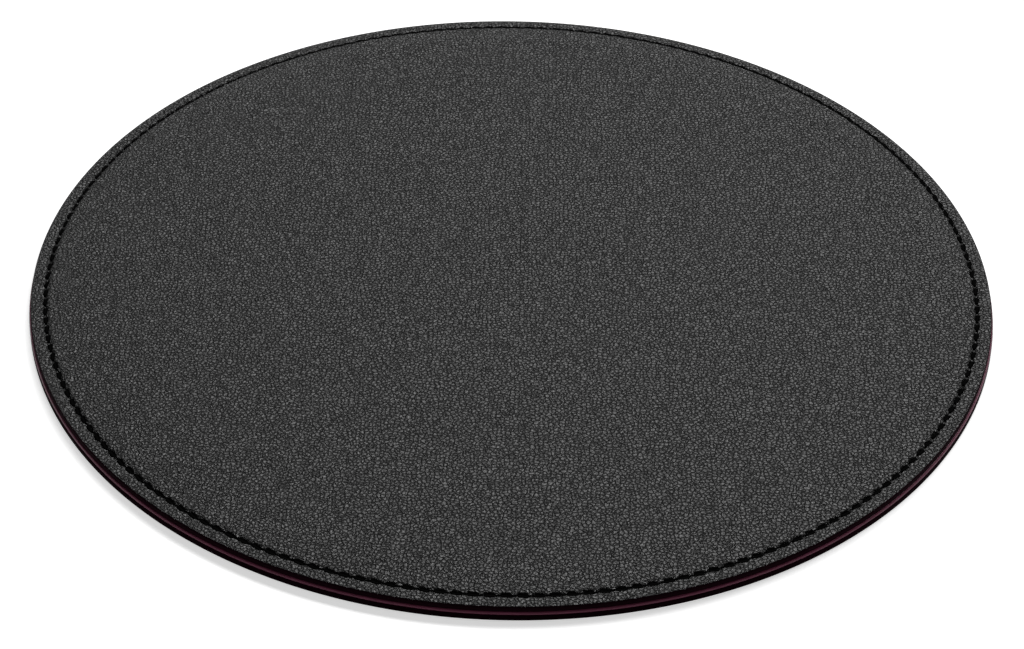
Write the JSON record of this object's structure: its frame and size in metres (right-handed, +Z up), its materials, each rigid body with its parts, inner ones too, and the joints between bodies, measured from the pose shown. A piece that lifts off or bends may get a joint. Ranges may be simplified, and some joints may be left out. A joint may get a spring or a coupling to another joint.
{
  "type": "mouse pad",
  "caption": "Round black leather mouse pad with a sewn rim, a burgundy painted bead round its edge and a suede underside.",
  "frame": {"origin": "centre of the round underside, on the desk", "axes": "+Z up out of the leather face, along the axis of the round; X and Y are alike, and the picture looks along +Y and down"},
  "size_m": [0.22, 0.22, 0.0039],
  "materials": {
    "grained_leather": "black leather embossed with a fine pebble grain, semi-matt",
    "felt_filler": "grey pressed felt",
    "suede_base": "black non-slip microfibre suede, matt",
    "contact_glue": "dried contact glue, amber",
    "edge_paint": "burgundy edge paint, glossy and domed",
    "sewing_thread": "black bonded sewing thread"
  },
  "bodies": {
    "root": {"top_leather": "grained_leather", "core_pad": "felt_filler", "base_sheet": "suede_base", "upper_glue": "contact_glue", "lower_glue": "contact_glue", "rim_glue": "contact_glue", "edge_bead": "edge_paint", "needle_thread": "sewing_thread", "bobbin_thread": "sewing_thread"}
  },
  "joints": []
}
